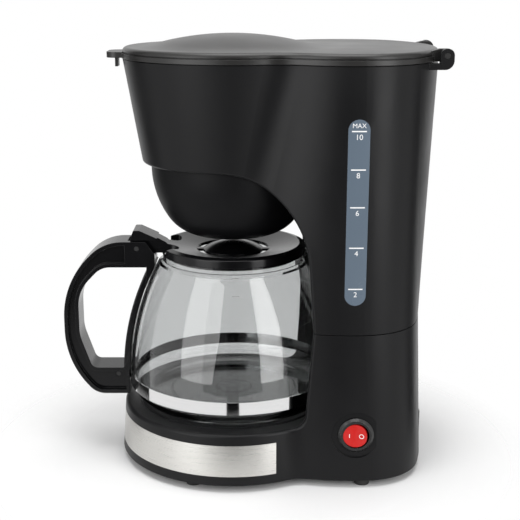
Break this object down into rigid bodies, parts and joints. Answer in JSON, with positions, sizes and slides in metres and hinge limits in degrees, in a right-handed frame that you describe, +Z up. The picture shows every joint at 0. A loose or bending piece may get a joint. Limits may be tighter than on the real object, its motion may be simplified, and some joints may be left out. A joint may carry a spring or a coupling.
{
  "type": "drip coffee maker",
  "caption": "Drip coffee maker: hinged top lid over water tank and filter basket, glass jug with hinged lid on a warming plate, drip stop and rocker switch.",
  "frame": {"origin": "on the table under the middle of the whole machine, jug handle and lid hinge included", "axes": "+Z up, -Y to the front where the jug handle is, +X to the side with the gauge and the switch"},
  "size_m": [0.1544, 0.2492, 0.2837],
  "materials": {
    "body_black": "satin",
    "handle_black": "gloss",
    "trim_steel": "brushed",
    "band_steel": "polished",
    "jug_clear": "clear",
    "gauge_clear": "satin",
    "rocker_red": "gloss",
    "foot_rubber": "matte",
    "seal_silicone": "matte",
    "plate_coating": "satin",
    "heater_metal": "cast",
    "small_steel": "plain",
    "terminal_brass": "plain",
    "print_white": "printed"
  },
  "bodies": {
    "housing": {"upper_housing": "body_black", "level_window": "gauge_clear", "base_housing": "body_black", "steel_trim": "trim_steel", "base_cover": "body_black", "feet": "foot_rubber", "cover_screws": "small_steel", "brew_bowl": "body_black", "filter_basket": "body_black", "inlet_hose": "seal_silicone", "outlet_hose": "seal_silicone", "check_valve": "body_black", "riser_tube": "body_black", "riser_seal": "seal_silicone", "spout_arm": "body_black", "warming_plate": "plate_coating", "plate_seal": "seal_silicone", "heater_casting": "heater_metal", "water_tube": "heater_metal", "heating_rod": "heater_metal", "heater_clamp": "small_steel", "clamp_nut": "small_steel", "thermostat": "heater_metal", "thermostat_strap": "small_steel", "thermal_fuses": "seal_silicone", "switch_body": "handle_black", "switch_terminals": "terminal_brass", "cord_inlet": "foot_rubber"},
    "top_lid": {"top_lid": "body_black", "lid_hinge_pins": "small_steel"},
    "jug": {"jug_glass": "jug_clear", "jug_band": "band_steel", "band_screw": "small_steel", "jug_handle": "handle_black"},
    "jug_lid": {"jug_lid": "handle_black", "jug_lid_pin": "small_steel"},
    "rocker": {"switch_rocker": "rocker_red"},
    "drip_stop": {"drip_valve": "body_black", "valve_seal": "seal_silicone", "valve_spring": "small_steel"},
    "check_ball": {"check_ball": "seal_silicone"}
  },
  "joints": [
    {"name": "lid_hinge", "type": "hinge", "parent": "housing", "child": "top_lid", "pos_m": [0, 0.1204, 0.2726], "axis": [-1, 0, 0], "range_deg": [0, 100]},
    {"name": "jug_slide", "type": "slide", "parent": "housing", "child": "jug", "axis": [0, -1, 0], "range_m": [0, 0.2]},
    {"name": "jug_lid_hinge", "type": "hinge", "parent": "jug", "child": "jug_lid", "pos_m": [0, -0.0746, 0.144], "axis": [1, 0, 0], "range_deg": [0, 2]},
    {"name": "switch_rock", "type": "hinge", "parent": "housing", "child": "rocker", "pos_m": [0.0657, 0.0684, 0.0364], "axis": [0, 0, 1], "range_deg": [0, 14]},
    {"name": "drip_stop_slide", "type": "slide", "parent": "housing", "child": "drip_stop", "axis": [0, 0, 1], "range_m": [0, 0.0035], "stiffness_N_per_m": 200, "springref_m": -0.005, "deforming": ["valve_spring"]},
    {"name": "check_ball_slide", "type": "slide", "parent": "housing", "child": "check_ball", "axis": [0, 0, 1], "range_m": [0, 0.003]}
  ]
}
